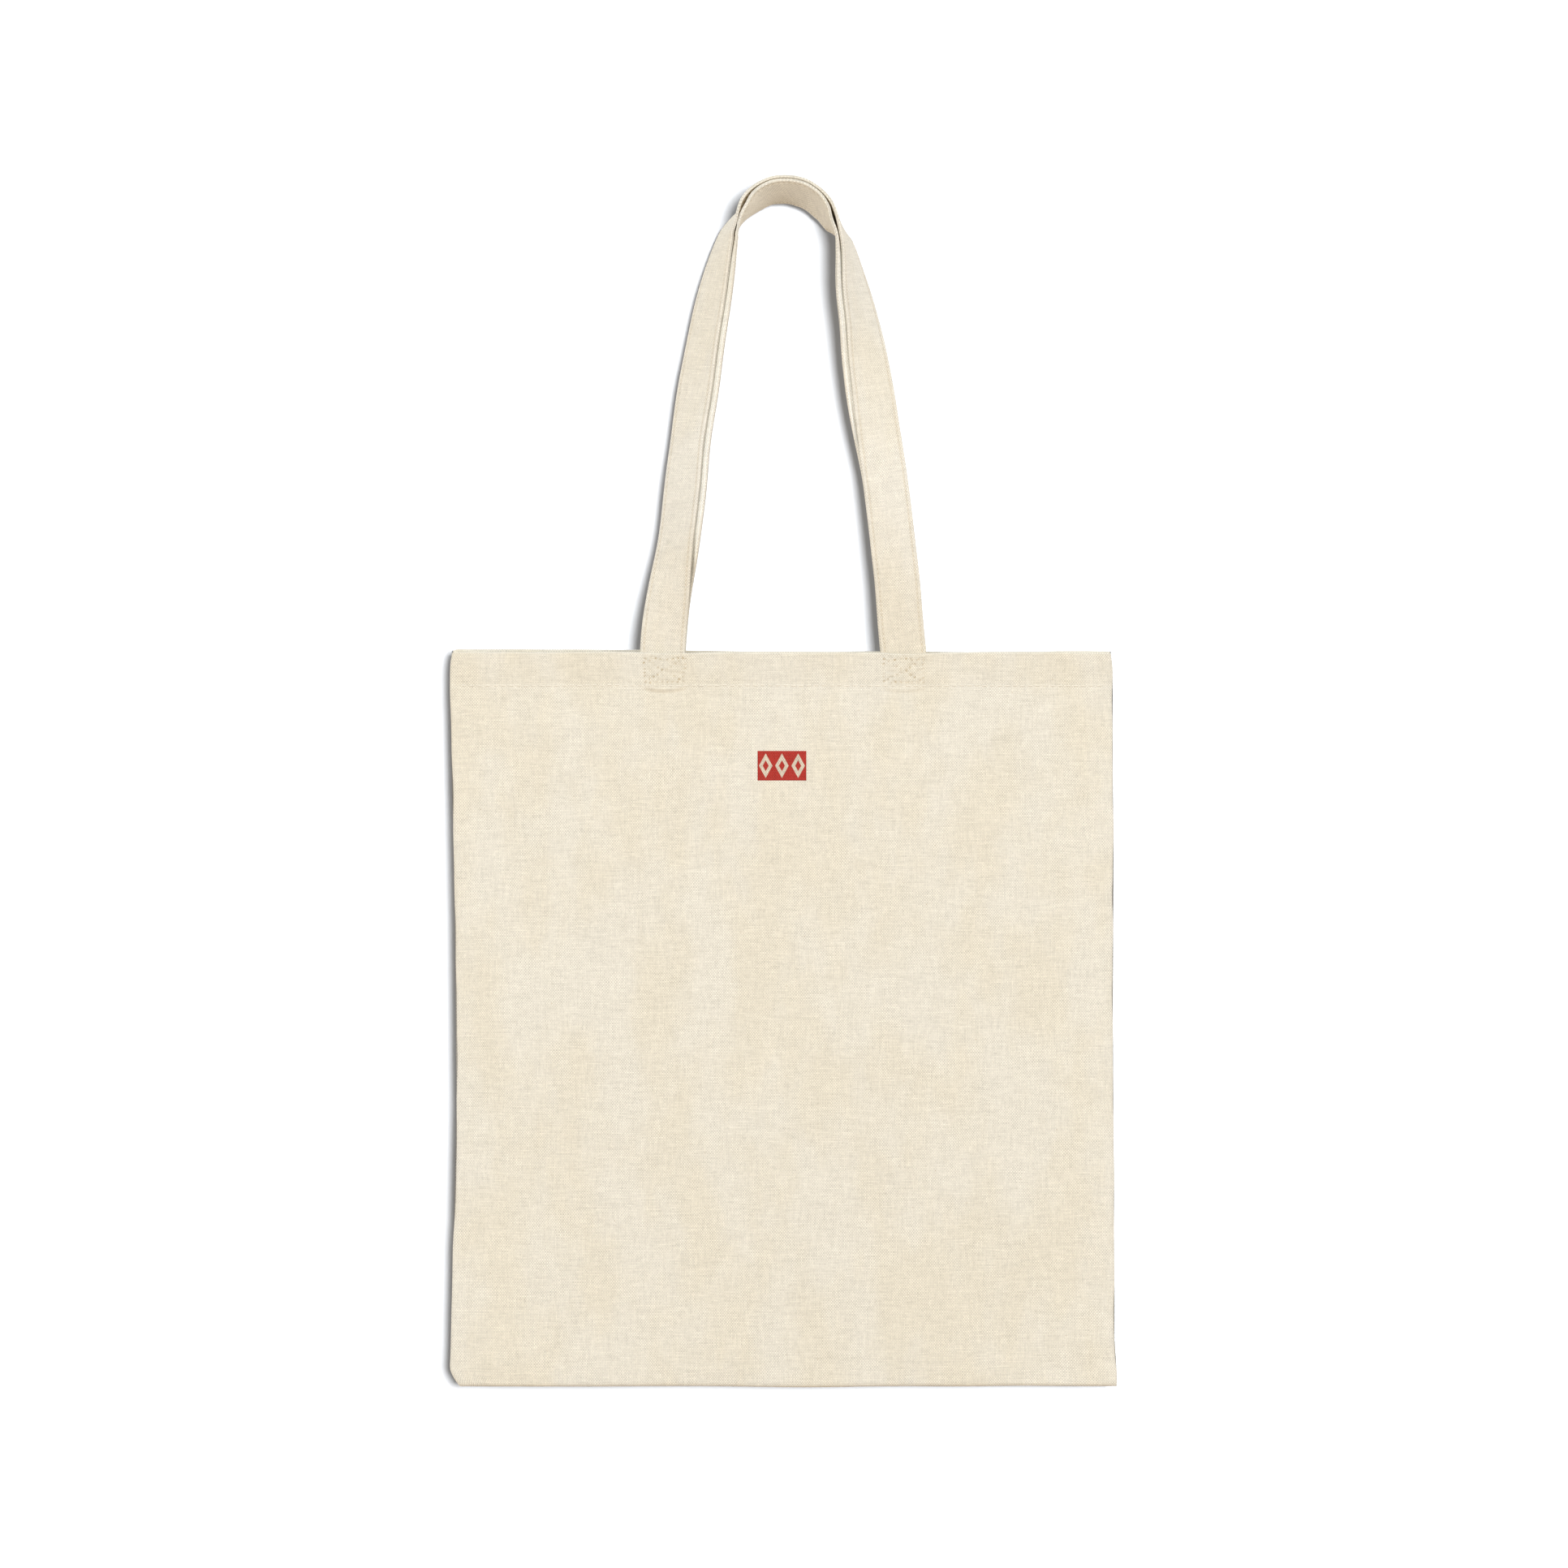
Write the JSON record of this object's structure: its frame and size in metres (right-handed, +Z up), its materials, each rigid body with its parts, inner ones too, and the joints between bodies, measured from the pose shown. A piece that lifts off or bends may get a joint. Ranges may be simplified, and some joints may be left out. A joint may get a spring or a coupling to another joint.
{
  "type": "tote bag",
  "caption": "Flat open-topped canvas tote bag with long sewn strap handles, hanging by its handle loops.",
  "frame": {"origin": "hanging point, the middle of the underside of the two nested handle loops", "axes": "+Z up, -Y towards the front panel, +X to the right seen from the front"},
  "size_m": [0.381, 0.026, 0.6913],
  "materials": {
    "canvas": "matt plain weave",
    "canvas_inside": "matt plain weave",
    "strap": "matt folded canvas",
    "thread": "matt cotton thread",
    "ink": "matt textile ink"
  },
  "bodies": {
    "bag": {"back_panel": "canvas", "back_hem": "canvas_inside", "back_left_strap_end": "strap", "back_right_strap_end": "strap", "back_hem_stitching": "thread", "back_left_box_stitching": "thread", "back_right_box_stitching": "thread", "left_seam_allowance": "canvas_inside", "right_seam_allowance": "canvas_inside", "bottom_seam_allowance": "canvas_inside", "left_overlock_thread": "thread", "right_overlock_thread": "thread", "bottom_overlock_thread": "thread"},
    "front": {"front_panel": "canvas", "front_hem": "canvas_inside", "front_left_strap_end": "strap", "front_right_strap_end": "strap", "front_hem_stitching": "thread", "front_left_box_stitching": "thread", "front_right_box_stitching": "thread", "front_print": "ink"},
    "front_loop": {"front_handle": "strap", "front_handle_stitching": "thread"},
    "back_loop": {"back_handle": "strap", "back_handle_stitching": "thread"}
  },
  "joints": [
    {"name": "mouth_open", "type": "hinge", "parent": "bag", "child": "front", "pos_m": [0, -0.0019, -0.684], "axis": [1, 0, 0], "range_deg": [0, 8]},
    {"name": "front_handle_fold", "type": "hinge", "parent": "front", "child": "front_loop", "pos_m": [0, -0.0113, -0.2615], "axis": [1, 0, 0], "range_deg": [0, 170]},
    {"name": "back_handle_fold", "type": "hinge", "parent": "bag", "child": "back_loop", "pos_m": [0, 0.0113, -0.2615], "axis": [1, 0, 0], "range_deg": [-170, 0]}
  ]
}
